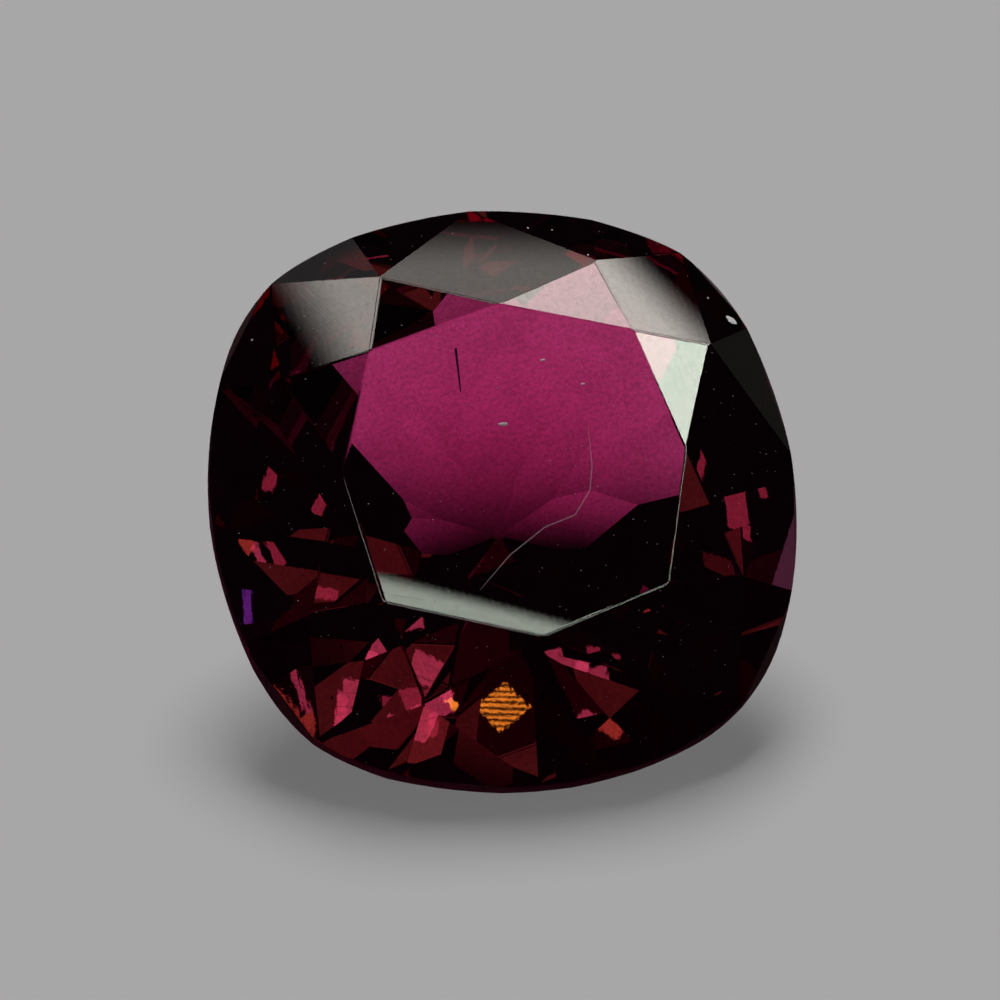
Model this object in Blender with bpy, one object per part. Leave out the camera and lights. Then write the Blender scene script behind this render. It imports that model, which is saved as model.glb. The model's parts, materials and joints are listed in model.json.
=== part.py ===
"""A loose rubellite tourmaline, cut as a cushion brilliant and lying on one facet of its pavilion.

The stone is made the way a cutter makes it. A preform with the cushion outline is ground flat facet by
facet: above the girdle the table, eight mains, eight stars and sixteen girdle facets, and below it eight
mains, eight narrower facets between them, sixteen girdle facets and a small flat in place of the point.

Everything is in millimetres in the cutter's frame until the stone is finished: Z runs along the stone's
axis from the point up to the table, Z = 0 is the middle of the girdle, and azimuths turn from +X (east)
towards +Y (north). The finished mesh is scaled to metres, and the object is tipped over so that the
south main of the pavilion lies flat on the ground, with its centre at the origin.
"""

import math

import bmesh
import bpy
from mathutils import Matrix, Vector
from mathutils.geometry import intersect_line_plane, intersect_plane_plane, intersect_sphere_sphere_2d

METRES_PER_MM = 0.001

# Outline of the girdle: four long arcs joined by a rounder arc at each corner.
HALF_WIDTH = 4.90
HALF_LENGTH = 5.09
SIDE_ARC = 7.50
END_ARC = 6.75
CORNER_ARCS = {(1, 1): 3.00, (-1, 1): 3.00, (-1, -1): 2.65, (1, -1): 3.40}
OUTLINE_POINTS = 144

# Heights from the middle of the girdle.
TABLE_HEIGHT = 1.67
GIRDLE_THICKNESS = 0.34
CULET_DEPTH = 4.15
CULET_FLAT = 0.06
CULET_X = 0.10

STAR_TIP_HEIGHT = 1.12
LOWER_GIRDLE_SLOPE = 41.0
LOWER_GIRDLE_OFFSET = 11.0

# Points this close to a facet's plane lie on it, and corners this close together are one corner.
ON_PLANE = 1e-6
SAME_CORNER = 0.002

# The crown, one row for each main from east round through north. A row gives the azimuth that the main
# faces, the azimuth and radius of the table corner at its head, the azimuth of its tip on the girdle, and
# the azimuth where the two girdle facets between it and the next main meet on the girdle.
CROWN = (
    (1.0, 1.0, 2.93, 4.0, 30.8),
    (47.0, 44.0, 3.18, 49.5, 67.0),
    (90.0, 88.0, 2.85, 90.0, 113.0),
    (132.0, 134.0, 3.05, 130.5, 154.0),
    (180.0, 178.0, 2.80, 180.0, 206.0),
    (226.0, 223.0, 3.23, 229.0, 245.0),
    (271.0, 273.5, 3.02, 270.0, 293.0),
    (313.0, 316.0, 3.27, 311.0, 336.0),
)

# The pavilion, one row for each main from east round through north: the azimuth that the main faces, its
# slope from the girdle's plane, and the slope of the facet between it and the next main. The mains all run
# down to the culet, and the west side was cut shallow. A facet between two mains starts on the ridge where
# they meet, this far out from the culet.
PAVILION = (
    (0.0, 37.0, 39.0),
    (45.0, 36.0, 37.5),
    (90.0, 36.0, 37.0),
    (135.0, 35.0, 33.6),
    (180.0, 31.5, 33.6),
    (225.0, 31.5, 37.0),
    (270.0, 38.0, 38.6),
    (315.0, 35.0, 37.5),
)
RIDGE_START = 1.0
RESTING_MAIN = 6

STONE_RED = (0.42, 0.010, 0.110, 1.0)
STONE_ROUGHNESS = 0.02
STONE_IOR = 1.63


def polar(azimuth, radius, height=0.0):
    """The point at an azimuth in degrees and a radius from the stone's axis."""
    turn = math.radians(azimuth)
    return Vector((radius * math.cos(turn), radius * math.sin(turn), height))


def quarter_arcs(east, north):
    """Centre and radius of a quarter's three arcs: side, corner and end. The corner touches the other two."""
    radius = CORNER_ARCS[east, north]
    side_centre = Vector((east * (HALF_WIDTH - SIDE_ARC), 0.0))
    end_centre = Vector((0.0, north * (HALF_LENGTH - END_ARC)))
    found = intersect_sphere_sphere_2d(side_centre, SIDE_ARC - radius, end_centre, END_ARC - radius)
    corner_centre = max(found, key=lambda point: east * point.x + north * point.y)
    return (side_centre, SIDE_ARC), (corner_centre, radius), (end_centre, END_ARC)


def rise(way):
    """Angle of a direction in the girdle's plane from the nearer half of the X axis."""
    return math.atan2(abs(way.y), abs(way.x))


def girdle_radius(azimuth):
    """Radius of the outline at an azimuth, on whichever of the quarter's three arcs lies there."""
    way = polar(azimuth, 1.0).xy
    side, corner, end = quarter_arcs(1 if way.x >= 0.0 else -1, 1 if way.y >= 0.0 else -1)
    side_stops = side[0] + (corner[0] - side[0]).normalized() * SIDE_ARC
    end_starts = end[0] + (corner[0] - end[0]).normalized() * END_ARC
    centre, radius = corner
    if rise(way) < rise(side_stops):
        centre, radius = side
    elif rise(way) > rise(end_starts):
        centre, radius = end
    along = way.dot(centre)
    return along + math.sqrt(along * along - centre.length_squared + radius * radius)


def girdle_point(azimuth, height):
    return polar(azimuth, girdle_radius(azimuth), height)


def facet_facing(azimuth, slope, point, down=False):
    """A facet as a point and an outward normal, from where it faces and its slope to the girdle's plane."""
    normal = polar(azimuth, math.sin(math.radians(slope)))
    normal.z = math.cos(math.radians(slope)) * (-1.0 if down else 1.0)
    return point, normal


def facet_through(first, second, third):
    """The facet through three points, with its normal away from the stone's axis."""
    normal = (second - first).cross(third - first).normalized()
    if normal.dot(first) < 0.0:
        normal.negate()
    return first, normal


def meeting_point(first, second, third):
    """The point where three facets meet."""
    line_start, line_way = intersect_plane_plane(*first, *second)
    return intersect_line_plane(line_start, line_start + line_way, *third)


def table_corner(row):
    return polar(row[1], row[2], TABLE_HEIGHT)


def crown_main(row):
    """A crown main, which runs from its table corner down to its tip on the girdle."""
    corner = table_corner(row)
    tip = girdle_point(row[3], GIRDLE_THICKNESS / 2)
    run = (tip - corner).dot(polar(row[0], 1.0))
    slope = math.degrees(math.atan2(corner.z - tip.z, run))
    return facet_facing(row[0], slope, corner)


def crown_facets():
    """All facets above the girdle, the table first."""
    facets = [facet_facing(0.0, 0.0, Vector((0.0, 0.0, TABLE_HEIGHT)))]
    star_level = facet_facing(0.0, 0.0, Vector((0.0, 0.0, STAR_TIP_HEIGHT)))
    edge_height = GIRDLE_THICKNESS / 2
    for number, row in enumerate(CROWN):
        next_row = CROWN[(number + 1) % len(CROWN)]
        main = crown_main(row)
        star_tip = meeting_point(main, crown_main(next_row), star_level)
        tip = girdle_point(row[3], edge_height)
        girdle_break = girdle_point(row[4], edge_height)
        next_tip = girdle_point(next_row[3], edge_height)
        facets += [
            main,
            facet_through(table_corner(row), table_corner(next_row), star_tip),
            facet_through(star_tip, tip, girdle_break),
            facet_through(star_tip, girdle_break, next_tip),
        ]
    return facets


def ridge_point(main, next_main, culet):
    """The point on the ridge between two mains where the facet between them starts."""
    _, way = intersect_plane_plane(*main, *next_main)
    if way.z < 0.0:
        way.negate()
    return culet + way * (RIDGE_START / way.xy.length)


def pavilion_facets():
    """All facets below the girdle. Each pair of girdle facets stands on either side of a main."""
    culet = Vector((CULET_X, 0.0, -CULET_DEPTH))
    facets = [facet_facing(0.0, 0.0, culet + Vector((0.0, 0.0, CULET_FLAT)), down=True)]
    mains = [facet_facing(azimuth, slope, culet, down=True) for azimuth, slope, _ in PAVILION]
    for number, (azimuth, _, slope_between) in enumerate(PAVILION):
        next_number = (number + 1) % len(PAVILION)
        start = ridge_point(mains[number], mains[next_number], culet)
        turn_to_next = (PAVILION[next_number][0] - azimuth) % 360.0
        facets.append(mains[number])
        facets.append(facet_facing(azimuth + turn_to_next / 2, slope_between, start, down=True))
        for side in (-1, 1):
            facing = azimuth + side * LOWER_GIRDLE_OFFSET
            foot = girdle_point(facing, -GIRDLE_THICKNESS / 2)
            facets.append(facet_facing(facing, LOWER_GIRDLE_SLOPE, foot, down=True))
    return facets


def preform():
    """The rough block: a straight wall on the cushion outline, tall enough for the table and the culet."""
    block = bmesh.new()
    ring = bmesh.ops.create_circle(block, cap_ends=True, segments=OUTLINE_POINTS, radius=1.0)
    for vertex in ring["verts"]:
        azimuth = math.degrees(math.atan2(vertex.co.y, vertex.co.x))
        vertex.co = girdle_point(azimuth, -CULET_DEPTH)
    top = bmesh.ops.extrude_face_region(block, geom=block.faces[:])
    top_vertices = [item for item in top["geom"] if isinstance(item, bmesh.types.BMVert)]
    bmesh.ops.translate(block, verts=top_vertices, vec=(0.0, 0.0, CULET_DEPTH + TABLE_HEIGHT))
    bmesh.ops.recalc_face_normals(block, faces=block.faces[:])
    return block


def grind(block, facet):
    """Takes off all that lies outside a facet's plane, and closes the cut with the flat facet."""
    point, normal = facet
    everything = block.verts[:] + block.edges[:] + block.faces[:]
    cut = bmesh.ops.bisect_plane(
        block, geom=everything, dist=ON_PLANE, plane_co=point, plane_no=normal, clear_outer=True
    )
    rim = [item for item in cut["geom_cut"] if isinstance(item, bmesh.types.BMEdge)]
    bmesh.ops.holes_fill(block, edges=rim, sides=0)


def stone_material():
    material = bpy.data.materials.new("rubellite_red")
    material.use_nodes = True
    shader = material.node_tree.nodes["Principled BSDF"]
    shader.inputs["Base Color"].default_value = STONE_RED
    shader.inputs["Roughness"].default_value = STONE_ROUGHNESS
    shader.inputs["Metallic"].default_value = 0.0
    shader.inputs["IOR"].default_value = STONE_IOR
    shader.inputs["Transmission Weight"].default_value = 1.0
    material.diffuse_color = STONE_RED
    return material


def resting_place(block, normal):
    """Turns the stone over onto the facet with this normal, and puts that facet's centre at the origin."""
    turn = normal.rotation_difference(Vector((0.0, 0.0, -1.0))).to_matrix().to_4x4()
    facet = max(block.faces, key=lambda face: face.normal.dot(normal))
    centre = facet.calc_center_median_weighted() * METRES_PER_MM
    return turn @ Matrix.Translation(-centre)


def make_stone(collection):
    """Grinds the whole stone and lays it down."""
    block = preform()
    for facet in crown_facets() + pavilion_facets():
        grind(block, facet)
    bmesh.ops.remove_doubles(block, verts=block.verts[:], dist=SAME_CORNER)
    block.normal_update()
    resting_azimuth, resting_slope, _ = PAVILION[RESTING_MAIN]
    _, resting_normal = facet_facing(resting_azimuth, resting_slope, Vector(), down=True)
    placed = resting_place(block, resting_normal)
    bmesh.ops.scale(block, vec=(METRES_PER_MM,) * 3, verts=block.verts[:])
    mesh = bpy.data.meshes.new("rubellite")
    block.to_mesh(mesh)
    block.free()
    mesh.materials.append(stone_material())
    stone = bpy.data.objects.new("rubellite", mesh)
    stone.matrix_world = placed
    collection.objects.link(stone)
    return stone


def main():
    for item in list(bpy.data.objects):
        bpy.data.objects.remove(item, do_unlink=True)
    collection = bpy.data.collections.new("rubellite_tourmaline")
    bpy.context.scene.collection.children.link(collection)
    make_stone(collection)


main()
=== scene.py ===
import json
import math
import random

import bmesh
import bpy
from mathutils import Matrix, Vector
from mathutils.bvhtree import BVHTree


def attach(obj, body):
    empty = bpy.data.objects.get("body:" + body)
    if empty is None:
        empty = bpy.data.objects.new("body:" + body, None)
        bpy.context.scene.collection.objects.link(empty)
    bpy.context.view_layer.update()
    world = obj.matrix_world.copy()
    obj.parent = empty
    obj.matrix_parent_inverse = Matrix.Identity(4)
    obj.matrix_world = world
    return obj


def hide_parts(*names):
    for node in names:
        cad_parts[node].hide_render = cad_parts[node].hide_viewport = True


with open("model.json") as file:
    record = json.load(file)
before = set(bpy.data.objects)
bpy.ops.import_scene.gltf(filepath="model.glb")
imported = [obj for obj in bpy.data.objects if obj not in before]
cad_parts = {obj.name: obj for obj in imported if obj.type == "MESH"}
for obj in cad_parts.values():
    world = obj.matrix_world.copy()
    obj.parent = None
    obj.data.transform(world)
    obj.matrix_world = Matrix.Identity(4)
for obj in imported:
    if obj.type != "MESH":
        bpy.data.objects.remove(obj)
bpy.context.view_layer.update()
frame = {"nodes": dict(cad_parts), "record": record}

MM = 0.001

# The photograph's view of the stone: one millimetre at the girdle's centre covers 60 of its 1000 pixels.
CAMERA_AZIMUTH = -8.2
CAMERA_ELEVATION = 32.5
CAMERA_DISTANCE = 0.2
CAMERA_SEES_FROM = 0.01
CAMERA_SEES_TO = 10.0
SENSOR_WIDTH = 36.0
PHOTO_WIDTH = 1000
PIXELS_PER_MM = 60.0
GIRDLE_CENTRE_PIXEL = (502.5, 500.3)

# Half the height of the girdle's wall, as the solid has it, in millimetres. The wall's normals lean out
# of the girdle's plane by a sine of less than WALL_LEAN.
GIRDLE_HALF_THICKNESS = 0.17
WALL_LEAN = 0.02
TOURMALINE_IOR = 1.63
# Corners of the solid closer than this, in metres, are one, and faces within this angle are one facet.
WELD_DISTANCE = 1e-7
SAME_FACET_DEGREES = 0.3

# How wide the worn facet edges of the crown are, and the radius of the facets' bulge from hand polish.
EDGE_WEAR = 0.03
EDGE_WEAR_STEPS = 4
FACET_DOMING_RADIUS = 110.0

# What the crystal takes out of red, green and blue light over each millimetre.
ABSORPTION_PER_MM = (0.055, 0.38, 0.18)
ABSORPTION_DENSITY = 400.0

# The sheet's half size in metres, and how far it lies below the stone, in millimetres.
FLOOR_HALF_SIZE = 0.6
FLOOR_DROP = 0.02
FLOOR_COLOUR = (0.60, 0.588, 0.594)
# What the camera sees past the sheet, and what the stone sees where no light stands.
STUDIO_GREY = (0.392, 0.383, 0.386)
DARK_ROOM = (0.004, 0.004, 0.005)
# Painted light and shade on the sheet: every ray but the camera's sees it as a pink glow, no lamp, which
# shines through the stone. It is bright behind the stone and painted dark as shade in front of the stone
# and to one side of it. The glow brightens from START to FULL on Y, and over FADE from SIDE on X, all in
# millimetres.
PAINTED_SHEET_GLOW = (0.51, 0.12, 0.262)
SHEET_GLOW_START = 3.0
SHEET_GLOW_FULL = 5.9
SHEET_GLOW_SIDE = -1.7
SHEET_GLOW_FADE = 0.6
# The share of the painted glow left where the sheet is painted dark as shade, in front of the stone and
# beside it.
SHEET_GLOW_IN_FRONT = 0.004
SHEET_GLOW_BESIDE = 0.1

# The lights of the sheet: the azimuth and elevation of each, its strength, the angle that its source
# fills, and whether it casts a shadow.
FLOOR_LIGHT = 2.05
SHADOWLESS_SHARE = 0.40
FLOOR_LIGHTS = (
    ("even_fill", (0.0, 80.0), FLOOR_LIGHT * SHADOWLESS_SHARE, 20.0, False),
    ("soft_overhead", (8.0, 54.0), FLOOR_LIGHT * (1.0 - SHADOWLESS_SHARE), 30.0, True),
)

# All other lights stand this far off, in metres, so that every point of the stone sees them the same way.
LIGHT_DISTANCE = 12.0

# The lights that show in the facets: the azimuth and elevation of each, its width and height as the stone
# sees them, its radiance and colour, how far in its edges fade, and its roll, with all angles in degrees.
WHITE = (1.0, 1.0, 1.0)
CREAM = (1.0, 0.93, 0.86)
GREENISH = (0.9, 1.0, 0.85)
SOFTBOXES = (
    ("right_softbox", (46.0, 37.0), (20.0, 20.0), 5.0, CREAM, 1.5, 0.0),
    ("far_right_softbox", (78.0, 41.0), (14.0, 14.0), 8.2, GREENISH, 1.5, 0.0),
    ("back_right_softbox", (30.5, 56.0), (14.0, 12.0), 6.4, CREAM, 1.5, 0.0),
    ("left_softbox", (-24.0, 48.0), (17.4, 18.0), 3.5, CREAM, 1.2, -27.0),
    ("back_softbox", (9.0, 44.0), (18.0, 17.0), 1.3, CREAM, 2.0, 0.0),
    ("front_softbox", (174.0, 61.0), (16.0, 15.8), 5.0, GREENISH, 0.4, -25.0),
    ("right_rim_light", (122.0, 47.0), (70.0, 15.0), 2.6, GREENISH, 2.0, 0.0),
    ("left_rim_light", (-152.0, 48.0), (44.0, 14.0), 2.0, WHITE, 2.0, 0.0),
    ("corner_card", (-13.0, 27.0), (10.0, 10.0), 0.15, WHITE, 1.0, 0.0),
    ("low_card", (56.0, 4.0), (12.0, 6.0), 0.05, GREENISH, 1.0, 0.0),
)

# The pixels of the photograph where dim facets show around the brighter ones. A faint wide light shines
# through at each. It is green because the long way through the crystal takes most of that.
DIM_GLOW_PIXELS = (
    (385, 660),
    (425, 685),
    (338, 690),
    (358, 735),
    (400, 740),
    (574, 672),
    (736, 530),
    (277, 580),
    (324, 530),
)
DIM_GLOW_SPREAD = (7.0, 6.0)
DIM_GLOW_SOFTNESS = 1.0
DIM_GLOW_COLOUR = (0.24, 1.0, 0.10)
DIM_GLOW_RADIANCE = 0.5

# The bright pieces of the mosaic around the table: the pixel of the photograph at the middle of each, its
# width and height there, how far it is turned, and its colour. A small light shines through at each.
ROSE = (0.27, 0.019, 0.048)
DEEP_ROSE = (0.18, 0.009, 0.025)
BRICK = (0.24, 0.018, 0.014)
PLUM = (0.10, 0.012, 0.16)
ORANGE = (0.85, 0.21, 0.02)
GARNET = (0.035, 0.002, 0.003)
MOSAIC = (
    ((385, 647), (52, 36), 8.0, ROSE),
    ((419, 628), (44, 20), -12.0, ROSE),
    ((428, 669), (36, 32), 25.0, ROSE),
    ((440, 700), (44, 38), -20.0, ROSE),
    ((338, 676), (27, 15), 5.0, ROSE),
    ((338, 705), (40, 44), 12.0, ROSE),
    ((367, 678), (19, 13), -8.0, ROSE),
    ((398, 694), (35, 26), -14.0, DEEP_ROSE),
    ((376, 718), (28, 13), 6.0, ROSE),
    ((398, 725), (21, 13), -6.0, ROSE),
    ((421, 735), (30, 52), 14.0, ROSE),
    ((358, 742), (24, 14), 20.0, BRICK),
    ((385, 757), (26, 12), -10.0, BRICK),
    ((325, 742), (22, 20), 30.0, BRICK),
    ((405, 771), (18, 10), 0.0, ROSE),
    ((430, 772), (12, 8), 15.0, ROSE),
    ((296, 686), (9, 42), -12.0, ROSE),
    ((306, 722), (16, 20), 20.0, BRICK),
    ((282, 700), (22, 9), -30.0, BRICK),
    ((263, 562), (13, 44), -38.0, ROSE),
    ((277, 550), (11, 50), -38.0, DEEP_ROSE),
    ((277, 597), (9, 28), 0.0, PLUM),
    ((324, 508), (14, 42), 14.0, DEEP_ROSE),
    ((272, 478), (14, 30), 10.0, DEEP_ROSE),
    ((328, 593), (24, 13), 8.0, DEEP_ROSE),
    ((574, 660), (54, 28), -14.0, ROSE),
    ((608, 677), (18, 28), -10.0, ROSE),
    ((613, 649), (16, 7), 0.0, DEEP_ROSE),
    ((608, 720), (34, 17), 14.0, BRICK),
    ((736, 512), (22, 44), 14.0, DEEP_ROSE),
    ((762, 494), (9, 16), 0.0, DEEP_ROSE),
    ((700, 476), (13, 44), -10.0, DEEP_ROSE),
    ((722, 575), (30, 26), 10.0, GARNET),
    ((402, 643), (24, 28), 10.0, ROSE),
    ((370, 654), (18, 16), -15.0, ROSE),
    ((354, 692), (16, 34), 12.0, ROSE),
    ((324, 702), (14, 34), 12.0, DEEP_ROSE),
    ((404, 702), (22, 18), -14.0, ROSE),
    ((386, 688), (18, 14), 8.0, DEEP_ROSE),
    ((456, 690), (14, 24), -20.0, ROSE),
    ((426, 696), (16, 16), 12.0, DEEP_ROSE),
    ((443, 674), (12, 20), 25.0, DEEP_ROSE),
    ((364, 724), (16, 12), 0.0, ROSE),
    ((388, 712), (16, 10), 10.0, ROSE),
    ((410, 752), (16, 22), 20.0, ROSE),
    ((430, 745), (12, 24), -8.0, DEEP_ROSE),
    ((345, 730), (18, 12), -12.0, BRICK),
    ((554, 654), (18, 14), -14.0, ROSE),
    ((592, 664), (16, 14), 0.0, ROSE),
    ((592, 650), (14, 10), 8.0, DEEP_ROSE),
    ((596, 716), (16, 14), 14.0, ROSE),
    ((250, 545), (12, 30), -38.0, BRICK),
    ((745, 535), (12, 16), 14.0, DEEP_ROSE),
    ((448, 663), (18, 14), 30.0, ORANGE),
    ((462, 702), (18, 8), 0.0, ORANGE),
    ((375, 262), (22, 10), -20.0, DEEP_ROSE),
)
# Over how many degrees the edges of these lights fade.
MOSAIC_SOFTNESS = 0.012
# The orange diamond below the table, which shows fine level stripes.
EMBER = ((513, 706), (42, 36), 45.0, ORANGE)
EMBER_STRIPES = 9
# The sight's turn for each pixel, in degrees, is measured from two sights, this many pixels to each side.
# Where it is more than the most, the edge of a facet lies between them, and the usual turn is used.
SIGHT_STEP = 3
USUAL_TURN = 0.007
MOST_TURN = 0.021
# The share of the light that the surfaces pass on, and the least sine of the elevation of a light.
SURFACES_PASS = 0.80
LEAST_RISE = 0.02
# A sight is followed for this many reflections, and starts this far off the surface, in millimetres.
MOST_REFLECTIONS = 9
SIGHT_START = 0.001
# Below this square of its cosine, light that would leave at a grazing angle counts as reflected.
GRAZING = 0.01

# Where the photograph shows marks on and under the polish, in its pixels. Other sizes are in millimetres.
NEEDLE_PIXELS = ((456, 347), (461, 390))
NEEDLE_DEPTH = 0.12
NEEDLE_RADIUS = 0.022
NEEDLE_TIP_RADIUS = 0.011
NEEDLE_SIDES = 8
FRACTURE_PIXELS = ((588, 425), (592, 465), (590, 490), (575, 515), (545, 527), (510, 555), (480, 590))
FRACTURE_WIDTH = 0.022
SCRATCH_PIXELS = (((305, 288), (337, 318)), ((298, 292), (330, 322)), ((392, 595), (425, 600)))
SCRATCH_WIDTH = 0.012
# What is left of a line's width at both its ends.
LINE_TAPER = 0.3
# The middle of each pale fleck, and its width and height in millimetres.
FLECKS = (
    ((503, 424), 0.19, 0.07),
    ((543, 360), 0.10, 0.05),
    ((583, 384), 0.08, 0.05),
    ((708, 298), 0.05, 0.05),
    ((528, 228), 0.05, 0.04),
    ((552, 230), 0.04, 0.04),
    ((588, 255), 0.05, 0.05),
    ((252, 340), 0.05, 0.06),
)
# A painted highlight: a white matt fleck that stands for a glint on the crown.
PAINTED_HIGHLIGHT_FLECKS = (((731, 320), 0.20, 0.26),)
DUST_PER_SQUARE_MM = 4.0
DUST_RADIUS = 0.013
DUST_SEED = 7
# The smallest and the largest grain's share of the radius on each axis, and the least height above the
# girdle where dust lies.
SMALLEST_GRAIN = (0.25, 0.25, 0.25)
LARGEST_GRAIN = (1.0, 1.0, 0.6)
DUST_LOWEST = 0.3
FLECK_THICKNESS = 0.02
FLECK_ROUGHNESS = 0.35
MARK_LIFT = 0.002
# The colour of each mark, and how much of what lies under it is hidden.
BRUISED_CRYSTAL = ((0.98, 0.86, 0.88), 0.9)
# The pure white of the painted highlight fleck, which hides all that lies under it.
PAINTED_HIGHLIGHT_COLOUR = ((1.0, 1.0, 0.97), 1.0)
HEALED_FRACTURE = ((0.75, 0.55, 0.62), 0.42)
SCRATCHED_POLISH = ((0.85, 0.82, 0.8), 0.55)
DARK_NEEDLE = ((0.10, 0.03, 0.08), 1.0)
SETTLED_DUST = ((0.62, 0.58, 0.58), 0.7)
# The marks are mottled down to this share of their colour, with this many cells for each millimetre.
MOTTLE_DARKEST = 0.6
MOTTLE_SCALE = 30.0
# Heights of the fine grain and of the ripples that the polish left, in millimetres.
POLISH_GRAIN = 0.00002
POLISH_RIPPLE = 0.000006
# How much of the light the most smeared spots of the polish still let through.
HAZE_DARKEST = 0.62
SMEAR_DARKEST = 0.84
GIRDLE_DARKEST = 0.35
GIRDLE_ROUGHNESS = 0.45
# The frosting fades from this far inside the wall's edges to this far outside them, in millimetres.
FROSTING_INSIDE = 0.02
FROSTING_OUTSIDE = 0.01
# The textures of the polish, in waves or cells for each millimetre, and where the haze and smears set in.
HAZE_TEXTURE = {"Scale": 14.0, "Detail": 4.0, "Roughness": 0.75}
HAZE_RANGE = (0.35, 0.62)
SMEAR_TEXTURE = {"Scale": 1.3, "Detail": 2.0, "Distortion": 0.6}
SMEAR_RANGE = (0.3, 0.6)
GRAIN_TEXTURE = {"Scale": 9.0, "Detail": 3.0, "Roughness": 0.6}
RIPPLE_TEXTURE = {"Scale": 2.6, "Distortion": 5.0, "Detail": 2.0, "Detail_Scale": 1.4}
# How often light may meet a surface before it is lost.
CLEAR_BOUNCES = 24
DULL_BOUNCES = 3


def rgba(red, green, blue):
    return red, green, blue, 1.0


def new_object(name, data):
    """An object with this data, placed in the scene."""
    made = bpy.data.objects.new(name, data)
    bpy.context.scene.collection.objects.link(made)
    return made


class Nodes:
    """A node tree, with short calls to add and join its nodes."""

    def __init__(self, tree):
        self.tree = tree

    def add(self, kind, **settings):
        node = self.tree.nodes.new(kind)
        for key, value in settings.items():
            setattr(node, key, value)
        return node

    def join(self, start, end):
        self.tree.links.new(start, end)

    def put(self, node, **values):
        for key, value in values.items():
            node.inputs[key.replace("_", " ")].default_value = value
        return node

    def math(self, operation, first, second=None, third=None):
        """A Math node whose inputs are sockets or plain numbers, and its result."""
        node = self.add("ShaderNodeMath", operation=operation)
        for slot, value in enumerate((first, second, third)):
            if value is None:
                continue
            if isinstance(value, (int, float)):
                node.inputs[slot].default_value = value
            else:
                self.join(value, node.inputs[slot])
        return node.outputs[0]

    def ramp(self, value, low, high, start=0.0, end=1.0):
        """Goes smoothly from start to end while the value goes from low to high."""
        node = self.add("ShaderNodeMapRange", interpolation_type="SMOOTHSTEP")
        self.put(node, From_Min=low, From_Max=high, To_Min=start, To_Max=end)
        self.join(value, node.inputs["Value"])
        return node.outputs["Result"]


class Shader(Nodes):
    """The node tree of a new material."""

    def __init__(self, name):
        self.material = bpy.data.materials.new(name)
        self.material.use_nodes = True
        super().__init__(self.material.node_tree)
        self.tree.nodes.clear()
        self.output = self.add("ShaderNodeOutputMaterial")


def find_stone_frame(node):
    """The cutter's frame in the world: X along the width, Z along the axis, the origin mid-girdle."""
    axis = Vector(next(m["axis"] for m in frame["record"]["mounts"] if m["name"] == "table_face"))
    across = Vector((1.0, 0.0, 0.0))
    along = axis.cross(across).normalized()
    turn = Matrix((across, along, axis)).transposed()
    wall = set()
    for face in node.data.polygons:
        if abs(face.normal.dot(axis)) < WALL_LEAN:
            wall.update(face.vertices)
    seen = [turn.transposed() @ node.data.vertices[i].co for i in wall]
    low = Vector([min(p[i] for p in seen) for i in range(3)])
    high = Vector([max(p[i] for p in seen) for i in range(3)])
    centre = (low + high) / 2
    return Matrix.Translation(turn @ centre) @ turn.to_4x4()


stone_node = frame["nodes"]["rubellite"]
stone_frame = find_stone_frame(stone_node)


def camera_axes():
    """The camera's right, up and back directions."""
    azimuth, elevation = math.radians(CAMERA_AZIMUTH), math.radians(CAMERA_ELEVATION)
    flat = math.cos(elevation)
    back = Vector((math.sin(azimuth) * flat, -math.cos(azimuth) * flat, math.sin(elevation)))
    right = Vector((math.cos(azimuth), math.sin(azimuth), 0.0))
    return right, back.cross(right), back


def camera_place():
    """The camera's own place, from which the girdle's centre falls on its pixel."""
    right, up, back = camera_axes()
    middle = PHOTO_WIDTH / 2
    offset = right * (GIRDLE_CENTRE_PIXEL[0] - middle) - up * (GIRDLE_CENTRE_PIXEL[1] - middle)
    return stone_frame.translation - offset * (MM / PIXELS_PER_MM) + back * CAMERA_DISTANCE


def make_camera():
    """Looks down on the stone as the photograph does, from far off, as a macro lens flattens it."""
    camera = new_object("camera", bpy.data.cameras.new("camera"))
    camera.location = camera_place()
    camera.rotation_euler = Matrix(camera_axes()).transposed().to_euler()
    camera.data.sensor_width = SENSOR_WIDTH
    camera.data.lens = SENSOR_WIDTH * CAMERA_DISTANCE / (PHOTO_WIDTH / PIXELS_PER_MM * MM)
    camera.data.clip_start = CAMERA_SEES_FROM
    camera.data.clip_end = CAMERA_SEES_TO
    bpy.context.scene.camera = camera


def cutter_coordinates(shader):
    """Object coordinates turned into the cutter's frame, in millimetres."""
    place = shader.add("ShaderNodeTexCoord")
    turn = shader.add("ShaderNodeMapping", vector_type="TEXTURE")
    shader.put(
        turn,
        Location=stone_frame.translation,
        Rotation=stone_frame.to_euler(),
        Scale=Vector((MM, MM, MM)),
    )
    shader.join(place.outputs["Object"], turn.inputs["Vector"])
    return turn.outputs["Vector"]


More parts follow.
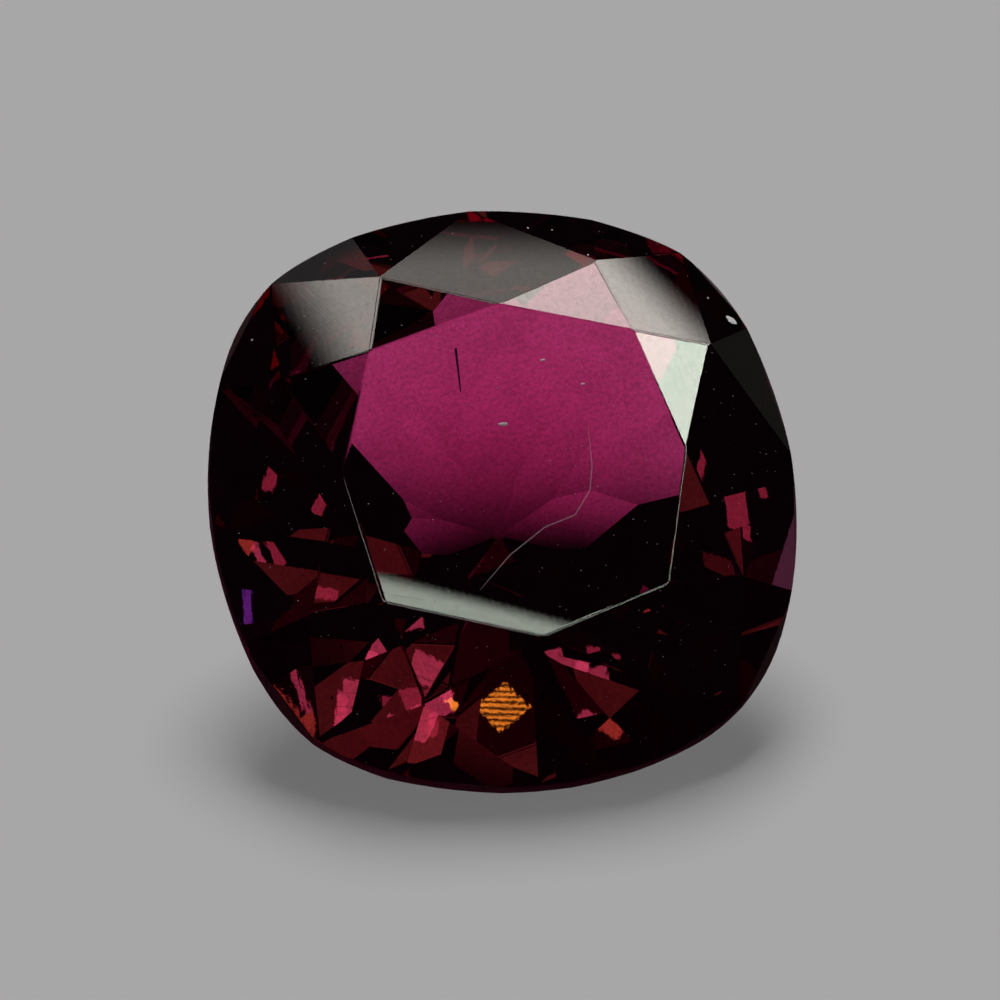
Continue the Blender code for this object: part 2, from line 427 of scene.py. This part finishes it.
def polished_rubellite():
    """Clear pink-red crystal, which takes out green and then blue with depth, under a hand polish."""
    shader = Shader("polished_rubellite")
    surface = shader.add("ShaderNodeBsdfPrincipled")
    shader.put(surface, IOR=TOURMALINE_IOR, Transmission_Weight=1.0)
    place = cutter_coordinates(shader)
    height_above = shader.add("ShaderNodeSeparateXYZ")
    shader.join(place, height_above.inputs[0])

    # A greasy film and fine wear make the polish let a little less through in small specks and streaks.
    haze = shader.add("ShaderNodeTexNoise")
    shader.put(haze, **HAZE_TEXTURE)
    shader.join(place, haze.inputs["Vector"])
    smear = shader.add("ShaderNodeTexNoise")
    shader.put(smear, **SMEAR_TEXTURE)
    shader.join(place, smear.inputs["Vector"])
    speckled = shader.ramp(haze.outputs["Fac"], *HAZE_RANGE, HAZE_DARKEST, 1.0)
    smeared = shader.ramp(smear.outputs["Fac"], *SMEAR_RANGE, SMEAR_DARKEST, 1.0)

    # The sawn girdle stays frosted between the two polished halves, and lets less light in.
    from_girdle = shader.math("ABSOLUTE", height_above.outputs["Z"])
    inside, outside = GIRDLE_HALF_THICKNESS - FROSTING_INSIDE, GIRDLE_HALF_THICKNESS + FROSTING_OUTSIDE
    frosting = shader.ramp(from_girdle, inside, outside, GIRDLE_ROUGHNESS, 0.0)
    shader.join(frosting, surface.inputs["Roughness"])
    sawn = shader.ramp(frosting, 0.0, GIRDLE_ROUGHNESS, 1.0, GIRDLE_DARKEST)
    passing = shader.math("MULTIPLY", shader.math("MULTIPLY", speckled, smeared), sawn)
    shader.join(passing, surface.inputs["Base Color"])

    # The crown's polish falls with the square of the reach from the girdle's middle, so that each facet
    # bulges, and has the grain and ripples. A bump acts the other way round on light from inside.
    reach = shader.add("ShaderNodeVectorMath", operation="DOT_PRODUCT")
    shader.join(place, reach.inputs[0])
    shader.join(place, reach.inputs[1])
    on_crown = shader.math("GREATER_THAN", height_above.outputs["Z"], 0.0)
    side = shader.add("ShaderNodeNewGeometry")
    outward = shader.math("MULTIPLY_ADD", side.outputs["Backfacing"], -2.0, 1.0)
    dome = shader.math("MULTIPLY", reach.outputs["Value"], -0.5 / FACET_DOMING_RADIUS)
    grain = shader.add("ShaderNodeTexNoise")
    shader.put(grain, **GRAIN_TEXTURE)
    shader.join(place, grain.inputs["Vector"])
    ripples = shader.add("ShaderNodeTexWave")
    shader.put(ripples, **RIPPLE_TEXTURE)
    shader.join(place, ripples.inputs["Vector"])
    height = shader.math("MULTIPLY_ADD", grain.outputs["Fac"], POLISH_GRAIN, dome)
    height = shader.math("MULTIPLY_ADD", ripples.outputs["Fac"], POLISH_RIPPLE, height)
    height = shader.math("MULTIPLY", height, on_crown)
    height = shader.math("MULTIPLY", height, outward)
    bump = shader.add("ShaderNodeBump")
    shader.put(bump, Strength=1.0, Distance=MM)
    shader.join(height, bump.inputs["Height"])
    shader.join(bump.outputs["Normal"], surface.inputs["Normal"])

    depth = shader.add("ShaderNodeVolumeAbsorption")
    passed = [1.0 - per_mm / MM / ABSORPTION_DENSITY for per_mm in ABSORPTION_PER_MM]
    shader.put(depth, Color=rgba(*passed), Density=ABSORPTION_DENSITY)
    shader.join(surface.outputs["BSDF"], shader.output.inputs["Surface"])
    shader.join(depth.outputs["Volume"], shader.output.inputs["Volume"])
    return shader.material


def matt(name, colour, cover):
    """A dull mottled surface, which lets the rest through where it covers less than all."""
    shader = Shader(name)
    dull = shader.add("ShaderNodeBsdfDiffuse")
    place = shader.add("ShaderNodeTexCoord")
    mottle = shader.add("ShaderNodeTexNoise")
    shader.put(mottle, Scale=MOTTLE_SCALE / MM, Detail=2.0)
    shader.join(place.outputs["Object"], mottle.inputs["Vector"])
    # A Mix node's inputs 6 and 7 and its output 2 are those for colours.
    tone = shader.add("ShaderNodeMix", data_type="RGBA")
    tone.inputs[6].default_value = rgba(*(MOTTLE_DARKEST * part for part in colour))
    tone.inputs[7].default_value = rgba(*colour)
    shader.join(mottle.outputs["Fac"], tone.inputs[0])
    shader.join(tone.outputs[2], dull.inputs["Color"])
    clear = shader.add("ShaderNodeBsdfTransparent")
    mix = shader.add("ShaderNodeMixShader")
    mix.inputs[0].default_value = cover
    shader.join(clear.outputs[0], mix.inputs[1])
    shader.join(dull.outputs[0], mix.inputs[2])
    shader.join(mix.outputs[0], shader.output.inputs["Surface"])
    return shader.material


def merged_stone():
    """A copy of the solid's mesh with its faces joined and each facet in one piece."""
    source = stone_node.data.copy()
    stone_mesh = bmesh.new()
    stone_mesh.from_mesh(source)
    bmesh.ops.remove_doubles(stone_mesh, verts=stone_mesh.verts[:], dist=WELD_DISTANCE)
    bmesh.ops.dissolve_limit(
        stone_mesh,
        angle_limit=math.radians(SAME_FACET_DEGREES),
        verts=stone_mesh.verts[:],
        edges=stone_mesh.edges[:],
    )
    source.materials.clear()
    return source, stone_mesh


def make_stone():
    """The faceted stone with the facet edges of its crown softly worn."""
    mesh, stone_mesh = merged_stone()
    into_cut = stone_frame.inverted()
    high_enough = 2 * GIRDLE_HALF_THICKNESS * MM
    crown_edges = [
        edge for edge in stone_mesh.edges
        if all((into_cut @ corner.co).z > high_enough for corner in edge.verts)
    ]
    bmesh.ops.bevel(
        stone_mesh,
        geom=crown_edges,
        offset=EDGE_WEAR * MM,
        offset_type="OFFSET",
        segments=EDGE_WEAR_STEPS,
        profile=0.5,
        affect="EDGES",
        clamp_overlap=True,
    )
    stone_mesh.to_mesh(mesh)
    stone_mesh.free()
    stone = new_object("rubellite_stone", mesh)
    mesh.materials.append(polished_rubellite())
    return stone


def bend(way, normal, ratio):
    """The way that light takes on through a surface, or None where all of it is reflected."""
    cosine = -way.dot(normal)
    left = 1.0 - ratio * ratio * (1.0 - cosine * cosine)
    if left < GRAZING:
        return None
    return (way * ratio + normal * (ratio * cosine - math.sqrt(left))).normalized()


class Sight:
    """Follows the camera's sight of a pixel onto the stone and through it."""

    def __init__(self):
        mesh, shape = merged_stone()
        self.tree = BVHTree.FromBMesh(shape)
        shape.free()
        bpy.data.meshes.remove(mesh)
        self.eye = camera_place()

    def way(self, pixel):
        """The direction from the camera in which a pixel lies."""
        right, up, back = camera_axes()
        middle = PHOTO_WIDTH / 2
        aside = right * (pixel[0] - middle) + up * (middle - pixel[1])
        return (aside * (MM / PIXELS_PER_MM) - back * CAMERA_DISTANCE).normalized()

    def onto(self, pixel):
        """The point of the stone that a pixel shows, and its facet's normal."""
        point, normal, _, _ = self.tree.ray_cast(self.eye, self.way(pixel))
        return point, normal

    def domed(self, point, normal):
        """The normal at a point of a facet that bulges a little, as those of the crown do."""
        away = point - stone_frame.translation
        if away.dot(stone_frame.to_3x3().col[2]) < 0.0:
            return normal
        return (normal + (away - normal * away.dot(normal)) / (FACET_DOMING_RADIUS * MM)).normalized()

    def through(self, pixel):
        """Where the sight through a pixel leaves the stone to, and how long its way inside is."""
        point, normal = self.onto(pixel)
        if point is None:
            return None, 0.0
        way = bend(self.way(pixel), self.domed(point, normal), 1.0 / TOURMALINE_IOR)
        inside = 0.0
        for _ in range(MOST_REFLECTIONS):
            hit, normal, _, _ = self.tree.ray_cast(point + way * (SIGHT_START * MM), way)
            if hit is None:
                return None, 0.0
            inside += (hit - point).length
            point, normal = hit, self.domed(hit, normal)
            out = bend(way, -normal, TOURMALINE_IOR)
            if out is not None:
                return out, inside
            way = way.reflect(normal)
        return None, 0.0

    def turn(self, pixel, step):
        """The turn of the sight across a pixel, or None, and its degrees for each pixel."""
        x, y = pixel
        ends = [self.through((x + side * step[0], y + side * step[1]))[0] for side in (1, -1)]
        if all(end is not None for end in ends):
            turn = ends[0] - ends[1]
            per_pixel = math.degrees(turn.length) / (2 * SIGHT_STEP)
            if per_pixel < MOST_TURN:
                return turn, per_pixel
        return None, USUAL_TURN


def piece(name, mesh_shape, material):
    """Makes the finished mesh an object that stays with the stone."""
    mesh = bpy.data.meshes.new(name)
    mesh_shape.to_mesh(mesh)
    mesh_shape.free()
    made = new_object(name, mesh)
    mesh.materials.append(material)
    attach(made, "root")


def facet_turn(normal):
    """Axes on a facet that isn't level: the first is level, and the third runs along its normal."""
    level = normal.cross(Vector((0.0, 0.0, 1.0))).normalized()
    return Matrix((level, normal.cross(level), normal)).transposed()


def make_flecks(name, marks, material):
    """Small flecks, each at its pixel and of its own size: pale bruises, and a white one that is a
    painted highlight.
    """
    flecks = bmesh.new()
    for number, (pixel, width, height) in enumerate(marks):
        point, normal = sight.onto(pixel)
        shape = Matrix.Translation(point) @ facet_turn(normal).to_4x4()
        size = Matrix.Diagonal((width / 2 * MM, height / 2 * MM, FLECK_THICKNESS / 2 * MM, 1.0))
        made = bmesh.ops.create_icosphere(flecks, subdivisions=2, radius=1.0, matrix=shape @ size)
        dents = random.Random(number)
        for corner in made["verts"]:
            corner.co += (corner.co - point) * dents.uniform(-FLECK_ROUGHNESS, 0.0)
    piece(name, flecks, material)


def add_ribbon(shape, points, width):
    """A thin flat ribbon through the points, each given with its facet's normal, tapered at both ends."""
    rows = []
    last = len(points) - 1
    for number, (point, normal) in enumerate(points):
        before = points[max(number - 1, 0)][0]
        after = points[min(number + 1, last)][0]
        aside = (after - before).cross(normal).normalized()
        half = width / 2 * MM * (LINE_TAPER if number in (0, last) else 1.0)
        lifted = point + normal * (MARK_LIFT * MM)
        rows.append([shape.verts.new(lifted + aside * half), shape.verts.new(lifted - aside * half)])
    for first, second in zip(rows, rows[1:]):
        shape.faces.new((first[0], first[1], second[1], second[0]))


def make_lines():
    """The hairline of a healed fracture below the table and the polishing scratches."""
    hairline = bmesh.new()
    add_ribbon(hairline, [sight.onto(pixel) for pixel in FRACTURE_PIXELS], FRACTURE_WIDTH)
    piece("hairline_fracture", hairline, matt("healed_fracture", *HEALED_FRACTURE))
    scratches = bmesh.new()
    for ends in SCRATCH_PIXELS:
        add_ribbon(scratches, [sight.onto(pixel) for pixel in ends], SCRATCH_WIDTH)
    piece("polish_scratches", scratches, matt("scratched_polish", *SCRATCHED_POLISH))


def make_needle():
    """A dark needle of another mineral, just under the table."""
    ends = []
    for pixel in NEEDLE_PIXELS:
        point, normal = sight.onto(pixel)
        ends.append(point - normal * (NEEDLE_DEPTH * MM))
    run = ends[1] - ends[0]
    place = Matrix.Translation((ends[0] + ends[1]) / 2) @ run.to_track_quat("Z", "Y").to_matrix().to_4x4()
    needle = bmesh.new()
    bmesh.ops.create_cone(
        needle,
        segments=NEEDLE_SIDES,
        cap_ends=True,
        radius1=NEEDLE_RADIUS * MM,
        radius2=NEEDLE_TIP_RADIUS * MM,
        depth=run.length,
        matrix=place,
    )
    piece("needle_inclusion", needle, matt("dark_needle", *DARK_NEEDLE))


def dust_tree(material):
    """A node group that strews small grains over a surface, by their density, their size and a seed."""
    tree = bpy.data.node_groups.new("strewn_dust", "GeometryNodeTree")
    ends = tree.interface
    ends.new_socket("Geometry", in_out="INPUT", socket_type="NodeSocketGeometry")
    density = ends.new_socket("Density", in_out="INPUT", socket_type="NodeSocketFloat")
    radius = ends.new_socket("Grain radius", in_out="INPUT", socket_type="NodeSocketFloat")
    seed = ends.new_socket("Seed", in_out="INPUT", socket_type="NodeSocketInt")
    ends.new_socket("Geometry", in_out="OUTPUT", socket_type="NodeSocketGeometry")
    given = tree.nodes.new("NodeGroupInput")
    result = tree.nodes.new("NodeGroupOutput")
    strew = tree.nodes.new("GeometryNodeDistributePointsOnFaces")
    grain = tree.nodes.new("GeometryNodeMeshIcoSphere")
    grain.inputs["Subdivisions"].default_value = 1
    vary = tree.nodes.new("FunctionNodeRandomValue")
    vary.data_type = "FLOAT_VECTOR"
    vary.inputs["Min"].default_value = SMALLEST_GRAIN
    vary.inputs["Max"].default_value = LARGEST_GRAIN
    settle = tree.nodes.new("GeometryNodeInstanceOnPoints")
    merge = tree.nodes.new("GeometryNodeRealizeInstances")
    dress = tree.nodes.new("GeometryNodeSetMaterial")
    dress.inputs["Material"].default_value = material
    links = tree.links
    links.new(given.outputs["Geometry"], strew.inputs["Mesh"])
    links.new(given.outputs["Density"], strew.inputs["Density"])
    links.new(given.outputs["Seed"], strew.inputs["Seed"])
    links.new(given.outputs["Grain radius"], grain.inputs["Radius"])
    links.new(given.outputs["Seed"], vary.inputs["Seed"])
    links.new(strew.outputs["Points"], settle.inputs["Points"])
    links.new(strew.outputs["Rotation"], settle.inputs["Rotation"])
    links.new(grain.outputs["Mesh"], settle.inputs["Instance"])
    links.new(vary.outputs["Value"], settle.inputs["Scale"])
    links.new(settle.outputs["Instances"], merge.inputs["Geometry"])
    links.new(merge.outputs["Geometry"], dress.inputs["Geometry"])
    links.new(dress.outputs["Geometry"], result.inputs["Geometry"])
    return tree, {density: DUST_PER_SQUARE_MM / MM ** 2, radius: DUST_RADIUS * MM, seed: DUST_SEED}


def make_dust():
    """Dust on the facets of the crown."""
    material = matt("settled_dust", *SETTLED_DUST)
    mesh, crown = merged_stone()
    into_cut = stone_frame.inverted()
    lowest = DUST_LOWEST * MM
    below = [face for face in crown.faces if (into_cut @ face.calc_center_median()).z < lowest]
    bmesh.ops.delete(crown, geom=below, context="FACES")
    crown.to_mesh(mesh)
    crown.free()
    strewn = new_object("dust_bed", mesh)
    tree, values = dust_tree(material)
    strew = strewn.modifiers.new("strew", "NODES")
    strew.node_group = tree
    for socket, value in values.items():
        strew[socket.identifier] = value
    grains = bpy.data.meshes.new_from_object(strewn.evaluated_get(bpy.context.evaluated_depsgraph_get()))
    strewn.modifiers.remove(strew)
    bpy.data.objects.remove(strewn)
    dust = new_object("settled_dust", grains)
    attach(dust, "root")


def sheet_with_painted_glow():
    """A plain pale sheet to the camera. To every other ray it is a painted pink glow, no lamp, bright
    behind the stone and painted dark as shade in front of the stone and to one side of it.
    """
    shader = Shader("sheet_with_painted_glow")
    plain = shader.add("ShaderNodeBsdfDiffuse")
    shader.put(plain, Color=rgba(*FLOOR_COLOUR))
    place = shader.add("ShaderNodeTexCoord")
    split = shader.add("ShaderNodeSeparateXYZ")
    shader.join(place.outputs["Object"], split.inputs[0])
    # The painted glow: an emission, no lamp, which rays through the stone see in place of the lit sheet.
    glow = shader.add("ShaderNodeEmission")
    shader.put(glow, Color=rgba(*PAINTED_SHEET_GLOW))
    # Painted shade: the glow fades to dark in front of the stone and to one side of it.
    start, full = SHEET_GLOW_START * MM, SHEET_GLOW_FULL * MM
    behind = shader.ramp(split.outputs["Y"], start, full, SHEET_GLOW_IN_FRONT)
    side, side_full = SHEET_GLOW_SIDE * MM, (SHEET_GLOW_SIDE + SHEET_GLOW_FADE) * MM
    beside = shader.ramp(split.outputs["X"], side, side_full, SHEET_GLOW_BESIDE)
    lit = shader.math("MULTIPLY", behind, beside)
    shader.join(lit, glow.inputs["Strength"])
    # The camera sees the plain sheet, and all other rays see the painted glow and shade.
    ray = shader.add("ShaderNodeLightPath")
    mix = shader.add("ShaderNodeMixShader")
    shader.join(ray.outputs["Is Camera Ray"], mix.inputs[0])
    shader.join(glow.outputs[0], mix.inputs[1])
    shader.join(plain.outputs[0], mix.inputs[2])
    shader.join(mix.outputs[0], shader.output.inputs["Surface"])
    shader.material.cycles.emission_sampling = "NONE"
    return shader.material


def make_floor():
    """The sheet that the stone lies on."""
    mesh = bpy.data.meshes.new("floor")
    sheet = bmesh.new()
    bmesh.ops.create_grid(sheet, x_segments=1, y_segments=1, size=FLOOR_HALF_SIZE)
    sheet.to_mesh(mesh)
    sheet.free()
    floor = new_object("floor", mesh)
    mesh.materials.append(sheet_with_painted_glow())
    floor.location.z = -FLOOR_DROP * MM


def fade_edges(data, spread, softness, stripes=0):
    """Fades a light out over this many degrees along its edges, and runs slanting stripes across it."""
    data.use_nodes = True
    nodes = Nodes(data.node_tree)
    emission = next(node for node in nodes.tree.nodes if node.type == "EMISSION")
    # Across the light, its parametric coordinates run from 0 to 1, so that its middle is at a half.
    place = nodes.add("ShaderNodeNewGeometry")
    split = nodes.add("ShaderNodeSeparateXYZ")
    nodes.join(place.outputs["Parametric"], split.inputs[0])
    strength = None
    for axis, degrees in zip(("X", "Y"), spread):
        away = nodes.math("ABSOLUTE", nodes.math("SUBTRACT", split.outputs[axis], 0.5))
        faded = nodes.ramp(away, 0.5, 0.5 - min(softness / degrees, 0.5))
        strength = faded if strength is None else nodes.math("MULTIPLY", strength, faded)
    if stripes:
        across = nodes.math("ADD", split.outputs["X"], split.outputs["Y"])
        wave = nodes.math("SINE", nodes.math("MULTIPLY", across, stripes * math.pi))
        strength = nodes.math("MULTIPLY", strength, nodes.math("MULTIPLY_ADD", wave, 0.5, 0.5))
    nodes.join(strength, emission.inputs["Strength"])


def way_to(place):
    """The way to an azimuth and elevation. The azimuth is 0 behind the stone and rises to the right."""
    turn, rise = (math.radians(angle) for angle in place)
    return Vector((math.sin(turn) * math.cos(rise), math.cos(turn) * math.cos(rise), math.sin(rise)))


def aimed_light(name, aim, spread, radiance, seen_by, colour, softness, stripes=0):
    """A rectangular light that faces the stone from the third direction of its aim.

    The spread is the width and the height as the stone sees them. All angles are in degrees.
    """
    data = bpy.data.lights.new(name, "AREA")
    data.shape = "RECTANGLE"
    data.size = 2 * LIGHT_DISTANCE * math.tan(math.radians(spread[0] / 2))
    data.size_y = 2 * LIGHT_DISTANCE * math.tan(math.radians(spread[1] / 2))
    data.energy = radiance * math.pi * data.size * data.size_y
    data.color = colour
    fade_edges(data, spread, softness, stripes)
    light = new_object(name, data)
    light.location = aim.col[2] * LIGHT_DISTANCE + stone_frame.translation
    light.rotation_euler = aim.to_euler()
    light.visible_camera = False
    light.visible_glossy = seen_by == "facets"
    light.visible_transmission = seen_by == "depths"
    light.visible_diffuse = False


def make_softbox(name, place, spread, radiance, colour, softness, roll):
    """A soft rectangular light at a place, which only the facets show."""
    aim = way_to(place).to_track_quat("Z", "Y").to_matrix() @ Matrix.Rotation(math.radians(roll), 3, "Z")
    aimed_light(name, aim, spread, radiance, "facets", colour, softness)


def make_floor_light(name, place, strength, spread, casts_shadow):
    """Even light for the sheet and for whatever is dull, which no facet reflects."""
    way = way_to(place)
    data = bpy.data.lights.new(name, "SUN")
    data.energy = strength / way.z
    data.angle = math.radians(spread)
    data.use_shadow = casts_shadow
    light = new_object(name, data)
    light.rotation_euler = way.to_track_quat("Z", "Y").to_euler()
    light.visible_camera = False
    light.visible_glossy = False
    light.visible_transmission = False


def make_dim_glow(name, pixel):
    """A faint wide light that stands where the sight through its pixel leads."""
    way, _ = sight.through(pixel)
    if way is None or way.z < LEAST_RISE:
        return
    aim = way.to_track_quat("Z", "Y").to_matrix()
    colour, softness = DIM_GLOW_COLOUR, DIM_GLOW_SOFTNESS
    aimed_light(name, aim, DIM_GLOW_SPREAD, DIM_GLOW_RADIANCE, "depths", colour, softness)


def make_mosaic_light(name, mosaic_piece, stripes=0):
    """A small light where the sight through its pixel leads, to show with the piece's size and colour."""
    pixel, (width, height), roll, colour = mosaic_piece
    way, inside = sight.through(pixel)
    if way is None or way.z < LEAST_RISE:
        return
    across, across_degrees = sight.turn(pixel, (SIGHT_STEP, 0))
    _, upright_degrees = sight.turn(pixel, (0, SIGHT_STEP))
    spread = (width * across_degrees, height * upright_degrees)
    aside = way.orthogonal() if across is None else across
    aside = (aside - way * aside.dot(way)).normalized()
    turned = Matrix.Rotation(math.radians(roll), 3, "Z")
    aim = Matrix((aside, way.cross(aside), way)).transposed() @ turned
    taken = [math.exp(-per_mm * inside / MM) * SURFACES_PASS for per_mm in ABSORPTION_PER_MM]
    needed = [part / left for part, left in zip(colour, taken)]
    brightest = max(needed)
    tone = [part / brightest for part in needed]
    aimed_light(name, aim, spread, brightest, "depths", tone, MOSAIC_SOFTNESS, stripes)


def make_lights():
    """The lights of the sheet, of the facets and of the depths of the stone."""
    for floor_light in FLOOR_LIGHTS:
        make_floor_light(*floor_light)
    for softbox in SOFTBOXES:
        make_softbox(*softbox)
    for number, pixel in enumerate(DIM_GLOW_PIXELS):
        make_dim_glow(f"dim_glow_{number}", pixel)
    for number, mosaic_piece in enumerate(MOSAIC):
        make_mosaic_light(f"mosaic_{number}", mosaic_piece)
    make_mosaic_light("ember", EMBER, EMBER_STRIPES)


def make_world():
    """Grey to the camera, like the floor, and nearly black to everything that reflects it."""
    world = bpy.data.worlds.new("studio")
    bpy.context.scene.world = world
    world.use_nodes = True
    nodes = Nodes(world.node_tree)
    nodes.tree.nodes.clear()
    output = nodes.add("ShaderNodeOutputWorld")
    mix = nodes.add("ShaderNodeMixShader")
    ray = nodes.add("ShaderNodeLightPath")
    dark = nodes.add("ShaderNodeBackground")
    grey = nodes.add("ShaderNodeBackground")
    nodes.put(dark, Color=rgba(*DARK_ROOM))
    nodes.put(grey, Color=rgba(*STUDIO_GREY))
    nodes.join(ray.outputs["Is Camera Ray"], mix.inputs[0])
    nodes.join(dark.outputs[0], mix.inputs[1])
    nodes.join(grey.outputs[0], mix.inputs[2])
    nodes.join(mix.outputs[0], output.inputs["Surface"])


def set_up_render():
    """Plain colours, and bounces enough for light to cross the stone many times."""
    scene = bpy.context.scene
    scene.view_settings.view_transform = "Standard"
    scene.cycles.max_bounces = CLEAR_BOUNCES
    scene.cycles.transmission_bounces = CLEAR_BOUNCES
    scene.cycles.glossy_bounces = CLEAR_BOUNCES
    scene.cycles.diffuse_bounces = DULL_BOUNCES
    scene.cycles.caustics_refractive = False
    scene.cycles.caustics_reflective = False


make_camera()
stone = make_stone()
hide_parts("rubellite")
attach(stone, "root")
sight = Sight()
make_flecks("pale_flecks", FLECKS, matt("bruised_crystal", *BRUISED_CRYSTAL))
# The painted highlight: a white matt fleck in place of a glint.
make_flecks("painted_highlight_fleck", PAINTED_HIGHLIGHT_FLECKS, matt("painted_highlight_white", *PAINTED_HIGHLIGHT_COLOUR))
make_lines()
make_needle()
make_dust()
make_floor()
make_lights()
make_world()
set_up_render()
